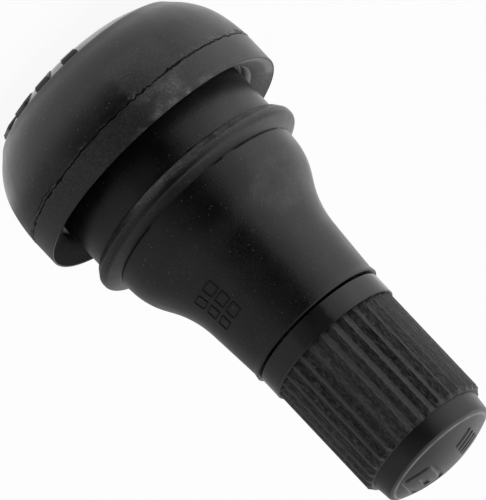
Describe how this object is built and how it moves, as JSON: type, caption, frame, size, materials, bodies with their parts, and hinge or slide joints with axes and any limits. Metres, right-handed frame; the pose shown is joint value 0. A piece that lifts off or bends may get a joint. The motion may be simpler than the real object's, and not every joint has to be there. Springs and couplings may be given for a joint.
{
  "type": "snap-in tyre valve",
  "caption": "Short rubber snap-in tyre valve with a domed head, rim groove, retaining ring, ribbed screw cap and a spring-loaded core in a brass stem.",
  "frame": {"origin": "centre of the flat on the head, where the valve stands with its cap up", "axes": "+Z along the valve's axis, from the head to the dust cap; X and Y across it"},
  "size_m": [0.0194, 0.0194, 0.0363],
  "materials": {
    "rubber": "matt moulded black rubber with a fine grey bloom",
    "stem_brass": "turned brass",
    "cap_plastic": "moulded black nylon, satin on the band and end, spark-textured between the ribs",
    "seal_rubber": "smooth black nitrile rubber",
    "core_brass": "bright turned brass",
    "gasket_plastic": "smooth red PTFE",
    "spring_steel": "drawn stainless wire"
  },
  "bodies": {
    "valve": {"rubber_body": "rubber", "brass_stem": "stem_brass", "core_plug": "core_brass", "core_barrel": "core_brass", "barrel_gasket": "gasket_plastic", "core_spring": "spring_steel"},
    "seal": {"cap_seal": "seal_rubber"},
    "cap": {"dust_cap": "cap_plastic"},
    "pin": {"core_pin": "core_brass", "pin_collar": "core_brass", "seat_cup": "core_brass", "seat_gasket": "seal_rubber"}
  },
  "joints": [
    {"name": "cap_lift", "type": "slide", "parent": "valve", "child": "seal", "axis": [0, 0, 1], "range_m": [0, 0.00833]},
    {"name": "cap_turn", "type": "hinge", "parent": "seal", "child": "cap", "pos_m": [0, 0, 0.03], "axis": [0, 0, 1], "range_deg": [0, 3782]},
    {"name": "pin_press", "type": "slide", "parent": "valve", "child": "pin", "axis": [0, 0, -1], "range_m": [0, 0.0014], "stiffness_N_per_m": 800, "deforming": ["core_spring"]}
  ],
  "couplings": [
    {"joint": "cap_turn", "follows": "cap_lift", "rad_per_m": 7915.8}
  ]
}
